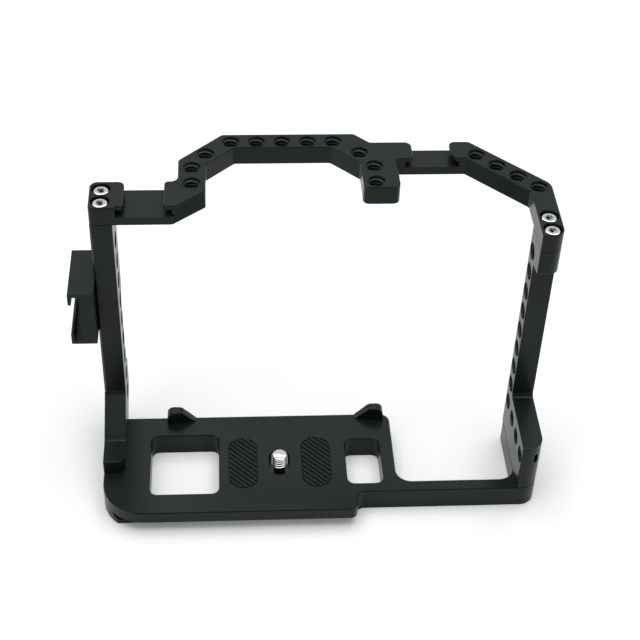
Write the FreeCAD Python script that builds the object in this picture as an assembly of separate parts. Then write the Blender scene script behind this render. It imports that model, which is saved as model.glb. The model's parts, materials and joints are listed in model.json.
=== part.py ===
import FreeCAD, Part
import math
import os

from FreeCAD import Vector

# Camera cage, millimetres. Z is up, X runs along the camera and +Y is the lens side.
# Heights are drawn up from the base's underside, and every part is then lowered so that
# the origin is the camera screw's axis on the seating plane, the base's top.

# Overall frame
overall_height = 116.4
column_thickness = 8.2
left_outer = -67.7
right_outer = 98.9
hole_pitch = 9.525
thread_radius = 3.175
thread_chamfer = 0.3
edge_break = 0.3
seam_break = 0.25
seat_gap = 0.05

# Base plate
base_thickness = 9.5
plate_centre_y = 0.3
plate_depth = 50.2
plate_right = 44.85
step_x = 28.9
bar_near = -16.1
bar_width = 5.0
arm_far = 20.4
base_corner_radius = 16.0
bar_corner_radius = 6.0
inner_corner_radius = 6.0
far_corner_radius = 4.0
step_outer_radius = 2.5
step_inner_radius = 3.5
window_corner_radius = 3.0
window_1_x = -50.0
window_1_width = 26.45
window_1_length = 30.4
window_2_x = 25.9
window_2_width = 13.9
window_2_length = 23.2

# Quick-release dovetail under the plate, measured from the plate's centre line
flange_thickness = 5.1
lip_half_width = 21.2
neck_half_width = 18.1
lip_height = 2.0
lip_end_radius = 5.0

# Locating ears on the lens side
ear_height = 5.9
ear_thick_end = 3.9
ear_thin_end = 2.6
ear_length = 11.2
ear_left_x = -43.8
ear_right_x = 42.1
ear_nose = 5.6
ear_nose_radius = 2.6

# Camera screw and what holds it in
slot_width = 8.2
slot_length = 13.2
screw_radius = 3.175
screw_tip_height = 14.0
screw_tip_chamfer = 0.9
neck_radius = 2.2
thread_start_drop = 1.1
screw_travel = 2.4
head_radius = 6.8
head_height = 2.7
head_clearance = 0.2
web_thickness = 4.5
coin_slot_width = 1.6
coin_slot_depth = 1.4
washer_thickness = 0.6
washer_bore_clearance = 0.15
layer_gap = 0.05
retainer_thickness = 1.2
retainer_sink = 0.1
retainer_width = 20.0
retainer_length = 29.6
retainer_window_width = 9.0
retainer_corner_radius = 3.0
retainer_screw_y = 12.4
small_thread_radius = 1.0
small_head_radius = 1.9
small_screw_length = 4.0

# Rubber pads
pad_x = 14.2
pad_width = 10.8
pad_length = 25.6
pad_thickness = 1.5
pad_recess_depth = 1.3
pad_margin = 0.35
rib_count = 15
rib_pitch = 2.47
rib_width = 0.75
rib_depth = 0.6
rib_angle = -45.0

# Top frame
frame_thickness = 7.4
hump_centre_x = 2.0
hump_row_y = 63.5
hump_far = 68.2
hump_near = 59.7
leg_hole_offset = 33.4
leg_outer_offset = 38.4
leg_inner_offset = 28.5
leg_hole_y = 47.6
diagonal_hole_offset = 28.5
diagonal_hole_y = 56.1
left_block_near = 23.3
left_block_far = 39.3
left_bar_end = -38.2
lip_set_back = 1.0
left_leg_near = 33.1
right_leg_near = 34.1
right_leg_outer = 43.9
right_far = 62.5
right_near = 51.9
arm_outer_sum = 134.5
arm_inner_sum = 121.65
arm_hole_x = 73.87
arm_hole_y = 53.97
right_block_near = 5.1

# Cold shoes
shoe_gap = 14.3
shoe_slot_width = 20.0
shoe_floor_depth = 4.0
shoe_lip_thickness = 1.5
right_shoe_x = 57.3
left_shoe_x = -48.3

# Columns, profiles in Y and Z
left_hole_y = 31.3
left_mid_far = 35.3
left_flare_bottom = 66.4
left_lower_flare_top = 29.9
left_slant_top = 26.3
left_outer_chamfer = 0.8
left_pad_near = -3.6
left_pad_slope_end = 7.4
foot_pad_height = 5.9
far_slant_top = 17.0
foot_inner_chamfer = 1.8
right_mid_near = 12.4
right_hole_y = 16.4
right_block_drop = 10.1
right_block_slope = 1.3
right_foot_top = 31.2
right_foot_radius = 6.0
right_block_radius = 4.5
left_hole_low = 19.8
right_hole_low = 24.3
column_hole_margin = 8.0
foot_hole_count = 3
corner_hole_depth = 3.4
eyelet_post = 1.5
eyelet_reach = 3.5
eyelet_height = 4.2
eyelet_z = 22.6
eyelet_angle = 28.0

# Fasteners
top_screw_spacing = 7.3
top_head_radius = 3.1
top_head_height = 2.0
top_head_sink = 0.65
top_counterbore_radius = 3.45
m3_radius = 1.5
m3_clearance_radius = 1.65
m3_head_radius = 3.0
m3_head_height = 1.7
hex_across = 2.0
hex_depth = 1.3
top_hex_across = 2.8
top_dome_radius = 0.9
top_screw_length = 9.5
foot_screw_length = 14.0
dowel_radius = 1.5
dowel_length = 8.0
left_foot_screws = (0.5, 14.5)
left_foot_dowels = (7.5, 20.5)
right_foot_screws = (-10.0, 9.0)
right_foot_dowels = (-3.5, 15.5)

# Accessory rail on the left column
rail_depth = 9.5
rail_near = 16.3
rail_length = 25.6
rail_bottom = 58.8
rail_height = 24.1
rail_plate = 1.6
rail_web = 5.4
rail_lip = 1.2
rail_lip_height = 5.2
rail_head_radius = 5.4
rail_head_height = 2.6
rail_pin_radius = 1.0
rail_pin_depth = 3.0

left_inner = left_outer + column_thickness
right_inner = right_outer - column_thickness
left_x = left_outer + column_thickness / 2
right_x = right_outer - column_thickness / 2
plate_near = plate_centre_y - plate_depth / 2
plate_far = plate_centre_y + plate_depth / 2
frame_bottom = overall_height - frame_thickness
shoe_floor = overall_height - shoe_floor_depth
left_screw_y = (left_block_near + left_block_far) / 2
right_screw_y = (right_block_near + arm_far) / 2
right_block_bottom = frame_bottom - right_block_drop
right_block_throat = right_block_bottom - right_block_slope
head_bottom = base_thickness - web_thickness - layer_gap * 2 - washer_thickness - head_height


def rounded_wire(corners, at):
    """Closed wire through (u, v, radius) corners; at(u, v) places a point in space."""
    edges = []
    starts = []
    ends = []
    count = len(corners)
    for i in range(count):
        u, v, r = corners[i]
        pu, pv = corners[i - 1][0] - u, corners[i - 1][1] - v
        nu, nv = corners[(i + 1) % count][0] - u, corners[(i + 1) % count][1] - v
        lp, ln = math.hypot(pu, pv), math.hypot(nu, nv)
        pu, pv, nu, nv = pu / lp, pv / lp, nu / ln, nv / ln
        if r <= 0:
            starts.append(at(u, v))
            ends.append(at(u, v))
            continue
        half = math.acos(max(-1.0, min(1.0, pu * nu + pv * nv))) / 2
        run = r / math.tan(half)
        bu, bv = pu + nu, pv + nv
        lb = math.hypot(bu, bv)
        reach = r / math.sin(half) - r
        starts.append(at(u + pu * run, v + pv * run))
        ends.append(at(u + nu * run, v + nv * run))
        middle = at(u + bu / lb * reach, v + bv / lb * reach)
        edges.append(Part.Arc(starts[i], middle, ends[i]).toShape())
    for i in range(count):
        follow = starts[(i + 1) % count]
        if (ends[i] - follow).Length > 1e-6:
            edges.append(Part.LineSegment(ends[i], follow).toShape())
    return Part.Wire(Part.__sortEdges__(edges))


def plan_prism(corners, z0, z1):
    """Vertical prism over an outline in X and Y."""
    wire = rounded_wire(corners, lambda x, y: Vector(x, y, z0))
    return Part.Face(wire).extrude(Vector(0, 0, z1 - z0))


def side_prism(corners, x0, x1):
    """Prism along X over an outline in Y and Z."""
    wire = rounded_wire(corners, lambda y, z: Vector(x0, y, z))
    return Part.Face(wire).extrude(Vector(x1 - x0, 0, 0))


def box(x0, x1, y0, y1, z0, z1):
    return Part.makeBox(x1 - x0, y1 - y0, z1 - z0, Vector(x0, y0, z0))


def rod(x, y, z0, z1, radius):
    return Part.makeCylinder(radius, z1 - z0, Vector(x, y, z0))


def cross_rod(x0, x1, y, z, radius):
    return Part.makeCylinder(radius, x1 - x0, Vector(x0, y, z), Vector(1, 0, 0))


def rectangle(x0, x1, y0, y1, r):
    return [(x0, y0, r), (x1, y0, r), (x1, y1, r), (x0, y1, r)]


def stadium(x, y, width, length, z0, z1):
    """Oblong prism with round ends, long way along Y."""
    r = width / 2
    flat = length / 2 - r
    body = box(x - r, x + r, y - flat, y + flat, z0, z1)
    ends = [rod(x, y - flat, z0, z1, r), rod(x, y + flat, z0, z1, r)]
    return body.multiFuse(ends).removeSplitter()


def threaded_hole(x, y, z0, z1):
    """Cutter for a vertical threaded hole, chamfered at both mouths."""
    wide = thread_radius + thread_chamfer
    hole = rod(x, y, z0 - 1, z1 + 1, thread_radius)
    low = Part.makeCone(wide, thread_radius, thread_chamfer, Vector(x, y, z0))
    high = Part.makeCone(thread_radius, wide, thread_chamfer, Vector(x, y, z1 - thread_chamfer))
    return hole.multiFuse([low, high])


def cross_threaded_hole(x0, x1, y, z):
    """Cutter for a threaded hole along X, chamfered at both mouths."""
    hole = threaded_hole(0, 0, 0, x1 - x0)
    hole.rotate(Vector(0, 0, 0), Vector(0, 1, 0), 90)
    hole.translate(Vector(x0, y, z))
    return hole


def countersink(x, y, z, head_radius, shank_radius, height):
    """Cone that opens downwards at height z."""
    return Part.makeCone(head_radius, shank_radius, height, Vector(x, y, z))


def hex_socket(x, y, z0, z1, across=hex_across):
    reach = across / math.sqrt(3)
    corners = []
    for i in range(6):
        turn = math.radians(60 * i)
        corners.append((x + reach * math.cos(turn), y + reach * math.sin(turn), 0))
    return plan_prism(corners, z0, z1)


def hole_heights(low):
    """Heights of a column's holes, from the lowest up to the space under the frame."""
    count = int((frame_bottom - column_hole_margin - low) / hole_pitch) + 1
    return [low + hole_pitch * i for i in range(count)]


def top_screw_places():
    half = top_screw_spacing / 2
    return [(left_x, left_screw_y + half), (left_x, left_screw_y - half),
            (right_x, right_screw_y + half), (right_x, right_screw_y - half)]


def foot_screw_places():
    return [(left_x, y) for y in left_foot_screws] + [(right_x, y) for y in right_foot_screws]


def foot_dowel_places():
    return [(left_x, y) for y in left_foot_dowels] + [(right_x, y) for y in right_foot_dowels]


def ear(x, direction):
    """Locating ear: tall round nose at x, sloping down along the plate's far edge."""
    top = base_thickness + ear_height
    end = x + direction * ear_length
    outline = [(x, base_thickness - 1, 0), (x, top, ear_nose_radius),
               (x + direction * ear_nose, top, ear_nose_radius),
               (end, base_thickness, 0), (end, base_thickness - 1, 0)]
    near = plate_far - ear_thick_end
    wire = rounded_wire(outline, lambda u, z: Vector(u, near, z))
    block = Part.Face(wire).extrude(Vector(0, ear_thick_end, 0))
    taper = [(x, near, 0), (end, plate_far - ear_thin_end, 0), (end, plate_far, 0),
             (x, plate_far, 0)]
    return block.common(plan_prism(taper, 0, top + 1))


def dovetail_groove(side):
    """V-shaped groove along one long edge of the plate's underside."""
    flange_bottom = base_thickness - flange_thickness
    outside = side * (plate_depth / 2 + 1)
    neck = side * neck_half_width
    lip = side * lip_half_width
    points = [(outside, flange_bottom), (neck, flange_bottom), (lip, lip_height),
              (lip, -1), (outside, -1)]
    outline = [(plate_centre_y + v, z, 0) for v, z in points]
    return side_prism(outline, left_outer - 1, plate_right + 1)


def lip_end_rounding():
    """Takes the square end off the near lip, under the step in the plate."""
    flange_bottom = base_thickness - flange_thickness
    near = plate_centre_y - lip_half_width
    x, r = step_x + 1, lip_end_radius
    block = box(x - r, x, near - 1, near + r - 1, -1, flange_bottom)
    return block.cut(rod(x - r, near + r - 1, -1, flange_bottom, r))


def make_base_plate():
    outline = [(left_outer, plate_near, base_corner_radius),
               (step_x, plate_near, step_outer_radius),
               (step_x, bar_near, step_inner_radius),
               (right_outer, bar_near, bar_corner_radius),
               (right_outer, arm_far, 1.0),
               (right_inner, arm_far, 1.0),
               (right_inner, bar_near + bar_width, inner_corner_radius),
               (plate_right, bar_near + bar_width, inner_corner_radius),
               (plate_right, plate_far, far_corner_radius),
               (left_outer, plate_far, 1.0)]
    plate = plan_prism(outline, 0, base_thickness)
    for x0, width, length in ((window_1_x, window_1_width, window_1_length),
                              (window_2_x, window_2_width, window_2_length)):
        window = rectangle(x0, x0 + width, -length / 2, length / 2, window_corner_radius)
        plate = plate.cut(plan_prism(window, -1, base_thickness + 1))
    top_edges = [e for e in plate.Edges if min(v.Z for v in e.Vertexes) > base_thickness - 0.01]
    plate = plate.makeChamfer(edge_break, top_edges)
    for side in (-1, 1):
        plate = plate.cut(dovetail_groove(side))
    plate = plate.cut(lip_end_rounding())
    ears = [ear(ear_left_x, 1), ear(ear_right_x, -1)]
    plate = plate.multiFuse(ears)
    return plate.cut(base_pockets())


def base_pockets():
    """Everything cut into the plate for the camera screw, pads, feet and retainer."""
    web_bottom = base_thickness - web_thickness
    head_room = 2 * (head_radius + head_clearance)
    cutters = [stadium(0, 0, slot_width, slot_length, web_bottom - 1, base_thickness + 1)]
    cutters.append(stadium(0, 0, head_room, head_room + 2 * screw_travel, -1, web_bottom))
    half_width = retainer_width / 2 + seat_gap
    half_length = retainer_length / 2 + seat_gap
    seat = rectangle(-half_width, half_width, -half_length, half_length, retainer_corner_radius)
    cutters.append(plan_prism(seat, -1, retainer_sink + retainer_thickness))
    for side in (-1, 1):
        wide = pad_width + 2 * pad_margin
        long = pad_length + 2 * pad_margin
        pocket_floor = base_thickness - pad_recess_depth
        cutters.append(stadium(side * pad_x, 0, wide, long, pocket_floor, base_thickness + 1))
        deep = retainer_sink + small_screw_length + seat_gap
        small = small_thread_radius + seat_gap
        cutters.append(rod(0, side * retainer_screw_y, 0, deep, small))
    for x, y in foot_screw_places():
        cutters.append(rod(x, y, -1, base_thickness + 1, m3_clearance_radius))
        wide = m3_head_radius + m3_clearance_radius - m3_radius
        cutters.append(countersink(x, y, 0, wide, m3_clearance_radius, m3_head_height))
    for x, y in foot_dowel_places():
        depth = dowel_length / 2 + seat_gap
        cutters.append(rod(x, y, base_thickness - depth, base_thickness + 1,
                           dowel_radius + seat_gap))
    return cutters[0].multiFuse(cutters[1:])


def column_sockets(x, screws, dowels, tops):
    """Tapped holes and dowel sockets in one column."""
    cutters = []
    reach = foot_screw_length + seat_gap
    for y in screws:
        cutters.append(rod(x, y, base_thickness - 1, reach, m3_radius + seat_gap))
    for y in dowels:
        depth = dowel_length / 2 + seat_gap
        cutters.append(rod(x, y, base_thickness - 1, base_thickness + depth,
                           dowel_radius + seat_gap))
    bottom = overall_height - top_head_sink - top_head_height - top_screw_length - seat_gap
    for y in tops:
        cutters.append(rod(x, y, bottom, frame_bottom + 1, m3_radius + seat_gap))
    return cutters


def break_seams(column):
    """Breaks the edges where a column meets the base and the top frame."""
    edges = []
    for level in (base_thickness, frame_bottom):
        edges += [e for e in column.Edges if all(abs(v.Z - level) < 0.01 for v in e.Vertexes)]
    return column.makeChamfer(seam_break, edges)


def make_left_column():
    pad_top = base_thickness + foot_pad_height
    outline = [(left_pad_near, base_thickness, 0), (left_pad_near, pad_top, 0.6),
               (left_pad_slope_end, pad_top, 2.0), (left_block_near, left_slant_top, 1.5),
               (left_block_near, frame_bottom, 0), (left_block_far, frame_bottom, 0),
               (left_block_far, left_flare_bottom, 0.8), (left_mid_far, left_flare_bottom, 2.0),
               (left_mid_far, left_lower_flare_top, 2.0),
               (left_block_far, left_lower_flare_top, 0.8),
               (left_block_far, far_slant_top, 1.5), (plate_far, base_thickness, 0)]
    column = break_seams(side_prism(outline, left_outer, left_inner))
    corner = foot_inner_chamfer
    wedge = [(left_inner + 1, left_pad_near - 1, 0), (left_inner + 1, left_pad_near + corner + 1, 0),
             (left_inner - corner - 1, left_pad_near - 1, 0)]
    cutters = [plan_prism(wedge, 0, left_slant_top)]
    corner = left_outer_chamfer
    wedge = [(left_outer - 1, left_block_near - 1, 0), (left_outer + corner + 1, left_block_near - 1, 0),
             (left_outer - 1, left_block_near + corner + 1, 0)]
    cutters.append(plan_prism(wedge, left_slant_top, frame_bottom + 1))
    for z in hole_heights(left_hole_low):
        cutters.append(cross_threaded_hole(left_outer, left_inner, left_hole_y, z))
    tops = [y for x, y in top_screw_places() if x == left_x]
    cutters += column_sockets(left_x, left_foot_screws, left_foot_dowels, tops)
    deep = left_outer + rail_pin_depth + seat_gap
    cutters.append(cross_rod(left_outer - 1, deep, left_hole_y, rail_pin_z(),
                             rail_pin_radius + seat_gap))
    return column.cut(cutters[0].multiFuse(cutters[1:]))


def eyelet():
    """Strap eyelet cutter: a ring-shaped tunnel behind the foot's outer corner."""
    turn = math.radians(eyelet_angle)
    x = right_outer - right_foot_radius * (1 - math.cos(turn))
    y = bar_near + right_foot_radius * (1 - math.sin(turn))
    z1 = eyelet_z + eyelet_height
    ring = rod(x, y, eyelet_z, z1, eyelet_reach).cut(rod(x, y, eyelet_z, z1, eyelet_post))
    return ring


def make_right_column():
    outline = [(bar_near, base_thickness, 0), (bar_near, right_foot_top, 0.5),
               (right_mid_near, right_foot_top, 2.0), (right_mid_near, right_block_throat, 1.0),
               (right_block_near, right_block_bottom, 0.6), (right_block_near, frame_bottom, 0),
               (arm_far, frame_bottom, 0), (arm_far, base_thickness, 0)]
    column = side_prism(outline, right_inner, right_outer)
    foot = [(right_inner, bar_near, 0.8), (right_outer, bar_near, right_foot_radius),
            (right_outer, arm_far, 0), (right_inner, arm_far, 0)]
    block = [(right_inner, right_block_near, 0.8), (right_outer, right_block_near, right_block_radius),
             (right_outer, arm_far, 0), (right_inner, arm_far, 0)]
    split = (right_foot_top + right_block_throat) / 2
    envelope = plan_prism(foot, base_thickness, split).fuse(plan_prism(block, split, frame_bottom))
    column = break_seams(column.common(envelope).removeSplitter())
    cutters = [eyelet()]
    heights = hole_heights(right_hole_low)
    for z in heights:
        cutters.append(cross_threaded_hole(right_inner, right_outer, right_hole_y, z))
    for i in range(1, foot_hole_count):
        y = right_hole_y - hole_pitch * i
        cutters.append(cross_threaded_hole(right_inner, right_outer, y, heights[0]))
    corner_y = right_hole_y - hole_pitch * foot_hole_count
    corner_end = right_inner + corner_hole_depth
    cutters.append(cross_rod(right_inner - 1, corner_end, corner_y, heights[0], thread_radius))
    tops = [y for x, y in top_screw_places() if x == right_x]
    cutters += column_sockets(right_x, right_foot_screws, right_foot_dowels, tops)
    return column.cut(cutters[0].multiFuse(cutters[1:])).removeSplitter()


def left_block_outline():
    """The block over the left column, above the shoe's floor."""
    wall = left_shoe_x - shoe_slot_width / 2
    lip = left_shoe_x - shoe_gap / 2
    set_back = left_block_near + lip_set_back
    return [(left_outer, left_block_near, 1.6), (wall, left_block_near, 0), (wall, set_back, 0),
            (lip, set_back, 1.4), (lip, left_block_far, 2.2), (left_outer, left_block_far, 2.7)]


def hump_outline(start, near, corner):
    """The hump and its legs, from the left shoe at start to the right shoe."""
    lip_right = right_shoe_x - shoe_gap / 2
    left_inner_x = hump_centre_x - leg_inner_offset
    right_inner_x = hump_centre_x + leg_inner_offset
    left_outer_x = hump_centre_x - leg_outer_offset
    bend = hump_near - 10.6
    slope = (left_leg_near - left_block_near) / (left_inner_x - left_bar_end)
    turn_x = left_bar_end + (near - left_block_near) / slope
    return [(start, near, corner), (turn_x, near, 1.8),
            (left_inner_x, left_leg_near, 0.8), (left_inner_x, bend, 1.5),
            (left_inner_x + 10.6, hump_near, 1.5), (right_inner_x - 10.6, hump_near, 1.5),
            (right_inner_x, bend, 1.5), (right_inner_x, right_leg_near, 2.4),
            (right_leg_outer, right_leg_near, 2.6), (right_leg_outer, right_near, 0.8),
            (lip_right, right_near, 1.2), (lip_right, right_far, 2.5),
            (right_inner_x + 4.3, right_far, 1.0), (right_inner_x - 1.4, hump_far, 2.0),
            (left_outer_x + 15.9, hump_far, 2.5), (left_outer_x, hump_far - 15.9, 2.5),
            (left_outer_x, left_block_far, 2.8), (start, left_block_far, 1.5)]


def arm_outline():
    lip = right_shoe_x + shoe_gap / 2
    return [(lip, right_near + 2.6, 0.5), (lip + 1.6, right_near, 0.5),
            (arm_inner_sum - right_near, right_near, 1.0),
            (right_inner, arm_inner_sum - right_inner, 2.0),
            (right_inner, right_block_near, 0.8),
            (right_outer, right_block_near, right_block_radius),
            (right_outer, arm_outer_sum - right_outer, 5.0),
            (arm_outer_sum - right_far, right_far, 3.0), (lip, right_far, 2.0)]


def shoe_undercut(x, near, far):
    half = shoe_slot_width / 2
    lip_bottom = overall_height - shoe_lip_thickness
    return box(x - half, x + half, near, far, shoe_floor, lip_bottom)


def frame_hole_places():
    places = [(hump_centre_x + hole_pitch * (i - 2), hump_row_y) for i in range(5)]
    for side in (-1, 1):
        places.append((hump_centre_x + side * diagonal_hole_offset, diagonal_hole_y))
        for i in range(2):
            x = hump_centre_x + side * leg_hole_offset
            places.append((x, leg_hole_y - hole_pitch * i))
    step = hole_pitch * math.sqrt(0.5)
    for i in range(4):
        places.append((arm_hole_x + step * i, arm_hole_y - step * i))
    return places


def make_top_frame():
    lip_left = left_shoe_x + shoe_gap / 2
    upper = [left_block_outline(), hump_outline(lip_left, left_block_near + lip_set_back, 1.4),
             arm_outline()]
    bodies = []
    for outline in upper:
        body = plan_prism(outline, shoe_floor, overall_height)
        edges = [e for e in body.Edges if min(v.Z for v in e.Vertexes) > overall_height - 0.01]
        bodies.append(body.makeChamfer(edge_break, edges))
    bodies.append(plan_prism(hump_outline(left_outer, left_block_near, 1.6),
                             frame_bottom, shoe_floor))
    bodies.append(plan_prism(arm_outline(), frame_bottom, shoe_floor))
    half = shoe_slot_width / 2
    bodies.append(box(right_shoe_x - half, right_shoe_x + half,
                      right_near, right_far, frame_bottom, shoe_floor))
    frame = bodies[0].multiFuse(bodies[1:])
    cutters = [shoe_undercut(left_shoe_x, left_block_near - 1, left_block_far + 1),
               shoe_undercut(right_shoe_x, right_near - 1, right_far + 1)]
    for x, y in frame_hole_places():
        cutters.append(threaded_hole(x, y, frame_bottom, overall_height))
    for x, y in top_screw_places():
        seat = overall_height - top_head_sink - top_head_height
        cutters.append(rod(x, y, frame_bottom - 1, overall_height + 1, m3_clearance_radius))
        cutters.append(rod(x, y, seat, overall_height + 1, top_counterbore_radius))
    return frame.cut(cutters[0].multiFuse(cutters[1:])).removeSplitter()


def make_camera_screw():
    head_top = head_bottom + head_height
    head = rod(0, 0, head_bottom, head_top, head_radius)
    thread_start = base_thickness - thread_start_drop
    neck = rod(0, 0, head_top, thread_start, neck_radius)
    shank = rod(0, 0, thread_start, screw_tip_height - screw_tip_chamfer, screw_radius)
    tip = Part.makeCone(screw_radius, screw_radius - screw_tip_chamfer, screw_tip_chamfer,
                        Vector(0, 0, screw_tip_height - screw_tip_chamfer))
    half = coin_slot_width / 2
    coin = box(-head_radius, head_radius, -half, half, head_bottom - 1, head_bottom + coin_slot_depth)
    return head.multiFuse([neck, shank, tip]).removeSplitter().cut(coin)


def make_screw_washer():
    low = head_bottom + head_height + layer_gap
    ring = rod(0, 0, low, low + washer_thickness, head_radius - head_clearance)
    return ring.cut(rod(0, 0, low, low + washer_thickness, neck_radius + washer_bore_clearance))


def make_screw_retainer():
    half_width, half_length = retainer_width / 2, retainer_length / 2
    outline = rectangle(-half_width, half_width, -half_length, half_length,
                        retainer_corner_radius - seat_gap)
    top = retainer_sink + retainer_thickness
    plate = plan_prism(outline, retainer_sink, top)
    window_length = retainer_window_width + 2 * screw_travel
    cutters = [stadium(0, 0, retainer_window_width, window_length, -1, top + 1)]
    for side in (-1, 1):
        y = side * retainer_screw_y
        cutters.append(countersink(0, y, retainer_sink, small_head_radius + seat_gap,
                                   small_thread_radius + seat_gap, retainer_thickness))
    return plate.cut(cutters[0].multiFuse(cutters[1:]))


def make_retainer_screw(side):
    y = side * retainer_screw_y
    head = countersink(0, y, retainer_sink, small_head_radius, small_thread_radius,
                       retainer_thickness)
    low = retainer_sink + retainer_thickness
    shank = rod(0, y, low, retainer_sink + small_screw_length, small_thread_radius)
    socket = rod(0, y, retainer_sink - 1, retainer_sink + retainer_thickness / 2,
                 small_thread_radius * 0.6)
    return head.fuse(shank).cut(socket)


def make_rubber_pad(side):
    x = side * pad_x
    low = base_thickness - pad_recess_depth
    pad = stadium(x, 0, pad_width, pad_length, low, low + pad_thickness)
    top = low + pad_thickness
    reach = pad_width
    cutters = []
    for i in range(rib_count):
        y = (i - (rib_count - 1) / 2) * rib_pitch
        groove = box(-reach, reach, -rib_width / 2, rib_width / 2, top - rib_depth, top + 1)
        groove.rotate(Vector(0, 0, 0), Vector(0, 0, 1), rib_angle)
        groove.translate(Vector(x, y, 0))
        cutters.append(groove)
    return pad.cut(cutters[0].multiFuse(cutters[1:]))


def make_top_screw(x, y):
    head_top = overall_height - top_head_sink
    seat = head_top - top_head_height
    head = rod(x, y, seat, head_top, top_head_radius)
    head = head.makeFillet(top_dome_radius, [e for e in head.Edges if e.BoundBox.ZMin > head_top - 0.01])
    shank = rod(x, y, seat - top_screw_length, seat, m3_radius)
    return head.fuse(shank).cut(hex_socket(x, y, head_top - hex_depth, head_top + 1, top_hex_across))


def make_foot_screw(x, y):
    head = countersink(x, y, 0, m3_head_radius, m3_radius, m3_head_height)
    shank = rod(x, y, m3_head_height, foot_screw_length, m3_radius)
    return head.fuse(shank).cut(hex_socket(x, y, -1, hex_depth))


def make_foot_dowel(x, y):
    half = dowel_length / 2
    return rod(x, y, base_thickness - half, base_thickness + half, dowel_radius)


def rail_hole_z():
    """The column hole nearest the rail's middle carries the rail's screw."""
    middle = rail_bottom + rail_height / 2
    return min(hole_heights(left_hole_low), key=lambda z: abs(z - middle))


def rail_pin_z():
    return rail_hole_z() - hole_pitch / 2


def make_accessory_rail():
    x0, x1 = left_outer, left_outer - rail_depth
    low, high = rail_bottom, rail_bottom + rail_height
    web = x0 - rail_web
    lip = x1 + rail_lip
    outline = [(x0, low, 0), (x0, high, 0), (x1, high, 0.4), (x1, high - rail_lip_height, 0.4),
               (lip, high - rail_lip_height, 0.4), (lip, high - rail_plate, 0.3),
               (web, high - rail_plate, 0.5), (web, low + rail_plate, 0.5),
               (lip, low + rail_plate, 0.3), (lip, low + rail_lip_height, 0.4),
               (x1, low + rail_lip_height, 0.4), (x1, low, 0.4)]
    wire = rounded_wire(outline, lambda x, z: Vector(x, rail_near, z))
    rail = Part.Face(wire).extrude(Vector(0, rail_length, 0))
    z = rail_hole_z()
    bore = cross_rod(web - 1, x0 + 1, left_hole_y, z, screw_radius + seat_gap)
    cone = Part.makeCone(rail_head_radius + seat_gap, screw_radius + seat_gap, rail_head_height,
                         Vector(web, left_hole_y, z), Vector(1, 0, 0))
    pin = cross_rod(x0 - rail_pin_depth - seat_gap, x0 + 1, left_hole_y, rail_pin_z(),
                    rail_pin_radius + seat_gap)
    return rail.cut(bore.multiFuse([cone, pin]))


def make_rail_screw():
    web = left_outer - rail_web
    z = rail_hole_z()
    head = Part.makeCone(rail_head_radius, screw_radius - seat_gap, rail_head_height,
                         Vector(web, left_hole_y, z), Vector(1, 0, 0))
    shank = cross_rod(web + rail_head_height, left_inner - 1, left_hole_y, z,
                      screw_radius - seat_gap)
    socket = hex_socket(0, 0, 0, 2.0)
    socket.rotate(Vector(0, 0, 0), Vector(0, 1, 0), 90)
    socket.translate(Vector(web - 0.5, left_hole_y, z))
    return head.fuse(shank).cut(socket)


def make_rail_pin():
    x0 = left_outer - rail_pin_depth
    return cross_rod(x0, left_outer + rail_pin_depth, left_hole_y, rail_pin_z(), rail_pin_radius)


def numbered(name, shapes):
    return {f"{name}_{i + 1}": shape for i, shape in enumerate(shapes)}


def make_parts():
    parts = {
        "base_plate": make_base_plate(),
        "left_column": make_left_column(),
        "right_column": make_right_column(),
        "top_frame": make_top_frame(),
        "camera_screw": make_camera_screw(),
        "screw_washer": make_screw_washer(),
        "screw_retainer": make_screw_retainer(),
        "accessory_rail": make_accessory_rail(),
        "rail_screw": make_rail_screw(),
        "rail_pin": make_rail_pin(),
    }
    parts.update(numbered("retainer_screw", [make_retainer_screw(s) for s in (-1, 1)]))
    parts.update(numbered("rubber_pad", [make_rubber_pad(s) for s in (-1, 1)]))
    parts.update(numbered("top_screw", [make_top_screw(x, y) for x, y in top_screw_places()]))
    parts.update(numbered("foot_screw", [make_foot_screw(x, y) for x, y in foot_screw_places()]))
    parts.update(numbered("foot_dowel", [make_foot_dowel(x, y) for x, y in foot_dowel_places()]))
    return parts


os.makedirs("parts", exist_ok=True)
for name, shape in make_parts().items():
    shape.translate(Vector(0, 0, -base_thickness))
    solids = shape.Solids
    print(name, len(solids), "solid", round(shape.Volume, 2), shape.isValid())
    whole = solids[0] if len(solids) == 1 else Part.makeCompound(solids)
    whole.exportStep(f"parts/{name}.step")
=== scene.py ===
import bpy
import json
import math
from mathutils import Matrix, Vector


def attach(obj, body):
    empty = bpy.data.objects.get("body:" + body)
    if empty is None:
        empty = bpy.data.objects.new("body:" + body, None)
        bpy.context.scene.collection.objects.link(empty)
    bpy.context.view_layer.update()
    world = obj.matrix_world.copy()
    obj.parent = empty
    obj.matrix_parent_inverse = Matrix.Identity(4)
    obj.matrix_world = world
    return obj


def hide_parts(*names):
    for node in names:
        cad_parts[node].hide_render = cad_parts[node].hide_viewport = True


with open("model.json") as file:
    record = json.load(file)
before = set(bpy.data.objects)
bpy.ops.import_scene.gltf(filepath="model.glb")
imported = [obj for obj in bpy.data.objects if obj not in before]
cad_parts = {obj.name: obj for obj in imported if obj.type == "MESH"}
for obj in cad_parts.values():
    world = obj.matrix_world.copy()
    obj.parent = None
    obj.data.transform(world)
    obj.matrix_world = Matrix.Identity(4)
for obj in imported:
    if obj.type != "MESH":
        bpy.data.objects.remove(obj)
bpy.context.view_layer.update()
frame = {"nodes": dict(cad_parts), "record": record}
nodes = frame["nodes"]
mm = 0.001

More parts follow.
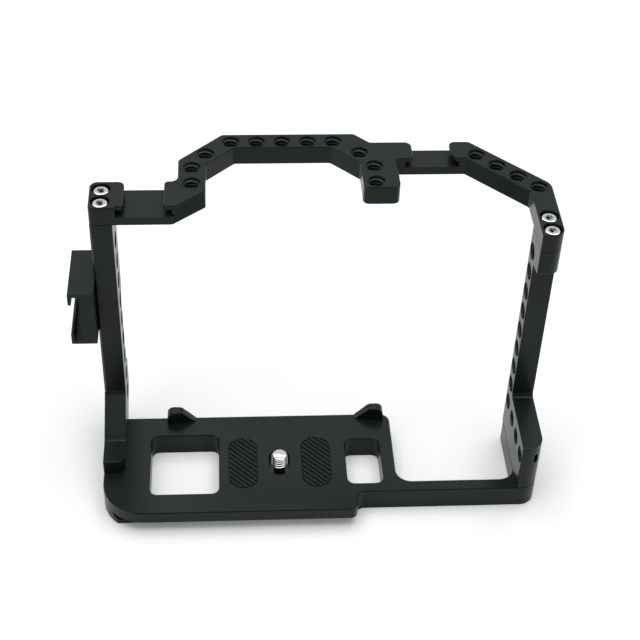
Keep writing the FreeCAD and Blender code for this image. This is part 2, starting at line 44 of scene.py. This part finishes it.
# Studio: a pale table in a white room, under a large soft lamp and a weak one on the left.
# The camera stands behind the cage, a little to the left, and looks down at it.
# A dark card behind the camera shows only in reflections, where it dulls the metal.
camera_place = Vector((-18.1, -386.6, 419.4)) * mm
yaw, pitch, roll = math.radians(4.69), math.radians(41.69), math.radians(2.24)
ahead = Vector((math.sin(yaw) * math.cos(pitch), math.cos(yaw) * math.cos(pitch),
                -math.sin(pitch)))
level = Vector((math.cos(yaw), -math.sin(yaw), 0))
upright = level.cross(ahead)
across = level * math.cos(roll) + upright * math.sin(roll)
above = upright * math.cos(roll) - level * math.sin(roll)
turn = Matrix((across, above, -ahead)).transposed().to_4x4()
bpy.ops.object.camera_add()
camera = bpy.context.object
camera.matrix_world = Matrix.Translation(camera_place) @ turn
camera.data.sensor_width = 36
camera.data.lens = 82.0
camera.data.clip_start = 0.01
bpy.context.scene.camera = camera
bpy.context.scene.view_settings.view_transform = "Standard"


def blank_tree(owner):
    """The owner's node tree, emptied, for a shader that is built from nothing."""
    owner.use_nodes = True
    owner.node_tree.nodes.clear()
    return owner.node_tree


def ray_mask(tree, kinds):
    """A socket that is 1 for these kinds of ray and 0 for all others."""
    path = tree.nodes.new("ShaderNodeLightPath")
    mask = path.outputs[kinds[0]]
    for kind in kinds[1:]:
        either = tree.nodes.new("ShaderNodeMath")
        either.operation = "MAXIMUM"
        tree.links.new(mask, either.inputs[0])
        tree.links.new(path.outputs[kind], either.inputs[1])
        mask = either.outputs[0]
    return mask


table_size, table_height = 8, -9.6 * mm
paper_white, paper_glow = 0.9, 0.12
bpy.ops.mesh.primitive_plane_add(size=table_size, location=(0, 0, table_height))
table = bpy.context.object
table.name = "table"
paper = bpy.data.materials.new("paper")
tree = blank_tree(paper)
matt = tree.nodes.new("ShaderNodeBsdfDiffuse")
matt.inputs["Color"].default_value = (paper_white, paper_white, paper_white, 1)
glow = tree.nodes.new("ShaderNodeEmission")
lift = tree.nodes.new("ShaderNodeMath")
lift.operation = "MULTIPLY"
lift.inputs[1].default_value = paper_glow
both = tree.nodes.new("ShaderNodeAddShader")
out = tree.nodes.new("ShaderNodeOutputMaterial")
seen = ray_mask(tree, ("Is Camera Ray", "Is Glossy Ray"))
tree.links.new(seen, lift.inputs[0])
tree.links.new(lift.outputs[0], glow.inputs["Strength"])
tree.links.new(matt.outputs[0], both.inputs[0])
tree.links.new(glow.outputs[0], both.inputs[1])
tree.links.new(both.outputs[0], out.inputs["Surface"])
table.data.materials.append(paper)

room_light, room_seen = 0.35, 1.0
room = bpy.data.worlds.new("room")
bpy.context.scene.world = room
tree = blank_tree(room)
strength = tree.nodes.new("ShaderNodeMapRange")
strength.inputs["To Min"].default_value = room_light
strength.inputs["To Max"].default_value = room_seen
sky = tree.nodes.new("ShaderNodeBackground")
out = tree.nodes.new("ShaderNodeOutputWorld")
seen = ray_mask(tree, ("Is Camera Ray", "Is Glossy Ray", "Is Transmission Ray"))
tree.links.new(seen, strength.inputs["Value"])
tree.links.new(strength.outputs["Result"], sky.inputs["Strength"])
tree.links.new(sky.outputs[0], out.inputs["Surface"])

lamp_target = Vector((0.01, 0.02, 0.03))
overhead_lamp = ((0.05, 0.20, 1.3), 1.6, 20)
left_lamp = ((-0.9, -0.7, 0.9), 0.9, 2.0)
for spot, width, watts in (overhead_lamp, left_lamp):
    bpy.ops.object.light_add(type="AREA", location=spot)
    lamp = bpy.context.object
    lamp.data.size = width
    lamp.data.energy = watts
    lamp.rotation_euler = (lamp_target - Vector(spot)).to_track_quat("-Z", "Y").to_euler()

card_size, card_place, card_tilt = 1.1, (-0.06, -0.85, 0.80), math.radians(48)
card_tone, card_roughness = 0.02, 0.9
bpy.ops.mesh.primitive_plane_add(size=card_size, location=card_place,
                                 rotation=(card_tilt, 0, 0))
dark_card = bpy.context.object
dark_card.name = "dark_card"
dark_card.visible_camera = False
dark_card.visible_diffuse = False
dark_card.visible_shadow = False
dark_card.visible_transmission = False
card = bpy.data.materials.new("dark_card")
card.use_nodes = True
shader = card.node_tree.nodes["Principled BSDF"]
shader.inputs["Base Color"].default_value = (card_tone, card_tone, card_tone, 1)
shader.inputs["Roughness"].default_value = card_roughness
dark_card.data.materials.append(card)

# Machined aluminium: base plate, columns, top frame, rail and the retainer underneath.
# Milled from bar, blasted fine, then anodised black, so it is satin with a tight grain.


def add_noise(tree, name, scale, detail):
    """A noise laid on the piece's own coordinates."""
    place = tree.nodes.new("ShaderNodeTexCoord")
    noise = tree.nodes.new("ShaderNodeTexNoise")
    noise.name = name
    noise.inputs["Scale"].default_value = scale
    noise.inputs["Detail"].default_value = detail
    tree.links.new(place.outputs["Object"], noise.inputs["Vector"])
    return noise


def mottled(name, scale, detail, stops, finish):
    """A material with this finish, tinted by a noise between two stops of a colour ramp."""
    material = bpy.data.materials.new(name)
    material.use_nodes = True
    tree = material.node_tree
    shader = tree.nodes["Principled BSDF"]
    for value, amount in finish.items():
        shader.inputs[value].default_value = amount
    mottle = add_noise(tree, "mottle", scale, detail)
    tint = tree.nodes.new("ShaderNodeValToRGB")
    for stop, (position, color) in zip(tint.color_ramp.elements, stops):
        stop.position = position
        stop.color = (*color, 1)
    tree.links.new(mottle.outputs["Fac"], tint.inputs["Fac"])
    tree.links.new(tint.outputs["Color"], shader.inputs["Base Color"])
    return material


def vary_gloss(material, smoothest, roughest):
    """Lets the mottle move the roughness between two values."""
    tree = material.node_tree
    gloss = tree.nodes.new("ShaderNodeMapRange")
    gloss.inputs["To Min"].default_value = smoothest
    gloss.inputs["To Max"].default_value = roughest
    tree.links.new(tree.nodes["mottle"].outputs["Fac"], gloss.inputs["Value"])
    tree.links.new(gloss.outputs["Result"], tree.nodes["Principled BSDF"].inputs["Roughness"])


def roughen(material, noise, strength, depth):
    """Lets the noise of this name raise a fine relief in the shading."""
    tree = material.node_tree
    relief = tree.nodes.new("ShaderNodeBump")
    relief.inputs["Strength"].default_value = strength
    relief.inputs["Distance"].default_value = depth
    tree.links.new(tree.nodes[noise].outputs["Fac"], relief.inputs["Height"])
    tree.links.new(relief.outputs["Normal"], tree.nodes["Principled BSDF"].inputs["Normal"])


def dress(names, material):
    """Gives the solids of these names one material."""
    for name in names:
        nodes[name].data.materials.clear()
        nodes[name].data.materials.append(material)


black = mottled("black_anodised", scale=90, detail=4,
                stops=((0.3, (0.0060, 0.0100, 0.0088)), (0.7, (0.0085, 0.0130, 0.0116))),
                finish={"IOR": 1.27, "Specular Tint": (0.86, 1.0, 0.95, 1)})
vary_gloss(black, smoothest=0.26, roughest=0.29)
add_noise(black.node_tree, "grain", scale=5200, detail=2)
roughen(black, "grain", strength=0.12, depth=0.02 * mm)
dress(("base_plate", "left_column", "right_column", "top_frame", "accessory_rail",
       "screw_retainer"), black)

# Threads cut into the holes of the top frame, the columns and the right foot.
# Each is one helical ridge, 20 to the inch, anodised with the metal round it.
# The rows start from the holes in the record, and a ridge's triangle is let into the wall.
pitch_of_thread = 1.27 * mm
thread_radius = 3.175 * mm
ridge_size, ridge_inset = 0.47 * mm, 0.185 * mm
pointing_in, pointing_out = -math.pi / 2, math.pi / 2
tolerance = 0.01 * mm


def helix(radius, turns, steps, pointing, size):
    """One closed helical ridge about the Z axis, centred on the origin."""
    bpy.ops.object.select_all(action="DESELECT")
    bpy.ops.mesh.primitive_circle_add(vertices=3, radius=size, location=(radius, 0, 0),
                                      rotation=(math.pi / 2, pointing, 0))
    coil = bpy.context.object
    bpy.ops.object.transform_apply(location=True, rotation=True, scale=True)
    screw = coil.modifiers.new("coil", "SCREW")
    screw.axis = "Z"
    screw.angle = math.tau * turns
    screw.screw_offset = pitch_of_thread * turns
    screw.steps = int(steps * turns)
    screw.render_steps = screw.steps
    bpy.ops.object.modifier_apply(modifier="coil")
    bpy.ops.object.mode_set(mode="EDIT")
    bpy.ops.mesh.select_all(action="SELECT")
    bpy.ops.mesh.remove_doubles(threshold=tolerance)
    bpy.ops.mesh.select_all(action="DESELECT")
    bpy.ops.mesh.select_mode(type="EDGE")
    bpy.ops.mesh.select_non_manifold()
    bpy.ops.mesh.fill_holes(sides=0)
    bpy.ops.mesh.select_all(action="SELECT")
    bpy.ops.mesh.normals_make_consistent(inside=False)
    bpy.ops.object.mode_set(mode="OBJECT")
    coil.location = (0, 0, -pitch_of_thread * turns / 2)
    bpy.ops.object.transform_apply(location=True)
    return coil


def thread_row(name, places, turns, sideways):
    """Threads at these middles, as one piece that belongs to the cage."""
    first = helix(thread_radius - ridge_inset, turns, 26, pointing_in, ridge_size)
    if sideways:
        first.rotation_euler = (0, math.pi / 2, 0)
        bpy.ops.object.transform_apply(rotation=True)
    copies = [first]
    for spot in places[1:]:
        copy = first.copy()
        copy.data = first.data.copy()
        bpy.context.collection.objects.link(copy)
        copy.location = spot
        copies.append(copy)
    first.location = places[0]
    bpy.ops.object.select_all(action="DESELECT")
    for copy in copies:
        copy.select_set(True)
    bpy.context.view_layer.objects.active = first
    bpy.ops.object.join()
    bpy.ops.object.transform_apply(location=True)
    bpy.ops.object.shade_smooth_by_angle(angle=math.radians(40))
    first.name = name
    first.data.materials.clear()
    first.data.materials.append(black)
    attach(first, "cage")


hole_pitch = 9.525 * mm
frame_turns, column_turns, corner_turns = 5, 5.6, 1.8
mount_at = {mount["name"]: mount["pos_m"] for mount in frame["record"]["mounts"]}

hump_x, hump_y, frame_z = mount_at["hump_middle_hole"]
hump = [(hump_x + hole_pitch * i, hump_y, frame_z) for i in (-2, -1, 0, 1, 2)]
thread_row("hump_threads", hump, frame_turns, sideways=False)
for side in ("left", "right"):
    pair_x, pair_y = mount_at[side + "_leg_pair"][:2]
    leg = [(pair_x, pair_y + hole_pitch / 2, frame_z), (pair_x, pair_y - hole_pitch / 2, frame_z),
           mount_at[side + "_shoulder_hole"]]
    thread_row(side + "_leg_threads", leg, frame_turns, sideways=False)
pair_x, pair_y = mount_at["arm_pair_far"][:2]
stride = hole_pitch * math.sqrt(0.5)
arm = [(pair_x + stride * (i - 0.5), pair_y - stride * (i - 0.5), frame_z) for i in range(4)]
thread_row("arm_threads", arm, frame_turns, sideways=False)

column_wall = 8.2 * mm
rail_screw_hole = 3  # counted down from 0; the rail's screw fills it
outer_x, pair_y, pair_z = mount_at["left_column_pair_top"]
left = [(outer_x + column_wall / 2, pair_y, pair_z + hole_pitch * (0.5 - i))
        for i in range(9) if i != rail_screw_hole]
thread_row("left_column_threads", left, column_turns, sideways=True)
outer_x, pair_y, pair_z = mount_at["right_column_pair_top"]
foot_x, foot_y, foot_z = mount_at["right_foot_hole"]
right = [(outer_x - column_wall / 2, pair_y, pair_z + hole_pitch * (0.5 - i)) for i in range(9)]
right += [(foot_x, foot_y + hole_pitch, foot_z), (foot_x, foot_y, foot_z)]
thread_row("right_column_threads", right, column_turns, sideways=True)
corner_x, corner_y, corner_z = mount_at["right_corner_hole"]
corner_shift = 0.3 * mm  # this hole is blind, and its thread starts below the rim
thread_row("corner_threads", [(corner_x + corner_shift, corner_y, corner_z)], corner_turns,
           sideways=True)

# Camera screw: turned from stainless bar, a quarter of an inch with 20 threads to the inch.
# A thin neck passes the plate, and the flat head, with its coin slot, turns and slides below.
# The thread's flanks get a darker copy of the steel, painted shade that tones down the lamp's
# highlight, and its core and the neck are painted near black as shade in the recess.
steel = mottled("turned_steel", scale=900, detail=3,
                stops=((0.25, (0.60, 0.60, 0.59)), (0.75, (0.74, 0.74, 0.73))),
                finish={"Metallic": 1.0})
vary_gloss(steel, smoothest=0.10, roughest=0.18)
roughen(steel, "mottle", strength=0.15, depth=0.02 * mm)
# Painted shade: a darker copy of the turned steel for the thread's flanks, which tones down the
# lamp's highlight on them.
shaded_flank = steel.copy()
shaded_flank.name = "thread_flank_shaded"
ramp = next(node for node in shaded_flank.node_tree.nodes if node.type == "VALTORGB").color_ramp
ramp.elements[0].color = (0.24, 0.24, 0.235, 1)
ramp.elements[1].color = (0.32, 0.32, 0.315, 1)
# Painted shade: a near-black material for the thread's core and the neck, in place of the shade
# between the ridges and in the slot.
root_shade = mottled("thread_root_painted_shade", scale=700, detail=2,
               stops=((0, (0.006, 0.007, 0.007)), (1, (0.016, 0.017, 0.017))),
               finish={"IOR": 1.2, "Roughness": 0.55})

head_low, head_top, head_radius = -7.9 * mm, -5.2 * mm, 6.75 * mm
slot_length, slot_width, slot_depth = 20 * mm, 1.6 * mm, 1.4 * mm
bpy.ops.object.select_all(action="DESELECT")
bpy.ops.mesh.primitive_cylinder_add(vertices=72, radius=head_radius, depth=head_top - head_low,
                                    location=(0, 0, (head_low + head_top) / 2))
head = bpy.context.object
bpy.ops.object.transform_apply(location=True)
bpy.ops.mesh.primitive_cube_add(size=1, location=(0, 0, head_low))
coin = bpy.context.object
coin.scale = (slot_length, slot_width, 2 * slot_depth)
bpy.ops.object.transform_apply(location=True, scale=True)
bpy.context.view_layer.objects.active = head
cut = head.modifiers.new("coin_slot", "BOOLEAN")
cut.object = coin
cut.operation = "DIFFERENCE"
cut.solver = "EXACT"
bpy.ops.object.modifier_apply(modifier="coin_slot")
bpy.data.objects.remove(coin)
soften = head.modifiers.new("soften", "BEVEL")
soften.width = 0.25 * mm
soften.segments = 2
soften.limit_method = "ANGLE"
bpy.ops.object.modifier_apply(modifier="soften")

start, crown, tip = -1.1 * mm, 3.85 * mm, 4.5 * mm
neck_radius, core_radius, crown_radius = 2.2 * mm, 2.72 * mm, 2.85 * mm
tip_rounding = 0.55 * mm
rods = []
for radius, low, high in ((neck_radius, head_top, start), (core_radius, start, crown),
                          (crown_radius, crown, tip)):
    bpy.ops.object.select_all(action="DESELECT")
    bpy.ops.mesh.primitive_cylinder_add(vertices=60, radius=radius, depth=high - low,
                                        location=(0, 0, (high + low) / 2))
    rods.append(bpy.context.object)
    bpy.ops.object.transform_apply(location=True)
bpy.ops.object.mode_set(mode="EDIT")
bpy.ops.mesh.select_all(action="DESELECT")
bpy.ops.object.mode_set(mode="OBJECT")
top = rods[-1].data
for edge in top.edges:
    edge.select = all(top.vertices[v].co.z > tip - tolerance for v in edge.vertices)
bpy.ops.object.mode_set(mode="EDIT")
bpy.ops.mesh.select_mode(type="EDGE")
bpy.ops.mesh.bevel(offset=tip_rounding, segments=4, affect="EDGES")
bpy.ops.object.mode_set(mode="OBJECT")

crest, screw_turns, thread_middle = 0.34 * mm, 3.9, 1.49 * mm
coil = helix(thread_radius - crest, screw_turns, 36, pointing_out, crest)
coil.location = (0, 0, thread_middle)
bpy.ops.object.transform_apply(location=True)
bpy.ops.object.select_all(action="DESELECT")
# The neck and the core take the painted shade, and the coil takes the darkened flank steel.
for part, metal in zip((head, *rods, coil), (steel, root_shade, root_shade, steel, shaded_flank)):
    part.data.materials.clear()
    part.data.materials.append(metal)
    part.select_set(True)
bpy.context.view_layer.objects.active = head
bpy.ops.object.join()
bpy.ops.object.shade_smooth_by_angle(angle=math.radians(35))
head.name = "threaded_camera_screw"
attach(head, "camera_screw")
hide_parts("camera_screw")

# Small stainless fasteners: socket screws at the top, countersunk ones below, and dowels.
# The top four are bright domed heads with a hex socket, a little below the frame's face.
fasteners = ("top_screw", "foot_screw", "foot_dowel", "retainer_screw", "rail_")
dress([name for name in nodes if name.startswith(fasteners)], steel)

# Rubber pads: two ovals let into the seat, moulded with slanting ribs against slipping.
# A dull black rubber, with the faint bloom that moulded rubber has.
rubber = mottled("moulded_rubber", scale=260, detail=5,
                 stops=((0.35, (0.007, 0.011, 0.010)), (0.75, (0.011, 0.016, 0.014))),
                 finish={"IOR": 1.26, "Specular Tint": (0.86, 1.0, 0.94, 1)})
vary_gloss(rubber, smoothest=0.52, roughest=0.66)
roughen(rubber, "mottle", strength=0.2, depth=0.03 * mm)
dress(("rubber_pad_1", "rubber_pad_2"), rubber)

# Washer between the screw's head and the plate, punched from black nylon sheet.
# Pressed over the thread onto the neck; smooth and a little waxy, so the screw turns freely.
nylon = mottled("black_nylon", scale=400, detail=2,
                stops=((0, (0.012, 0.012, 0.012)), (1, (0.020, 0.020, 0.020))),
                finish={"Roughness": 0.38})
dress(("screw_washer",), nylon)
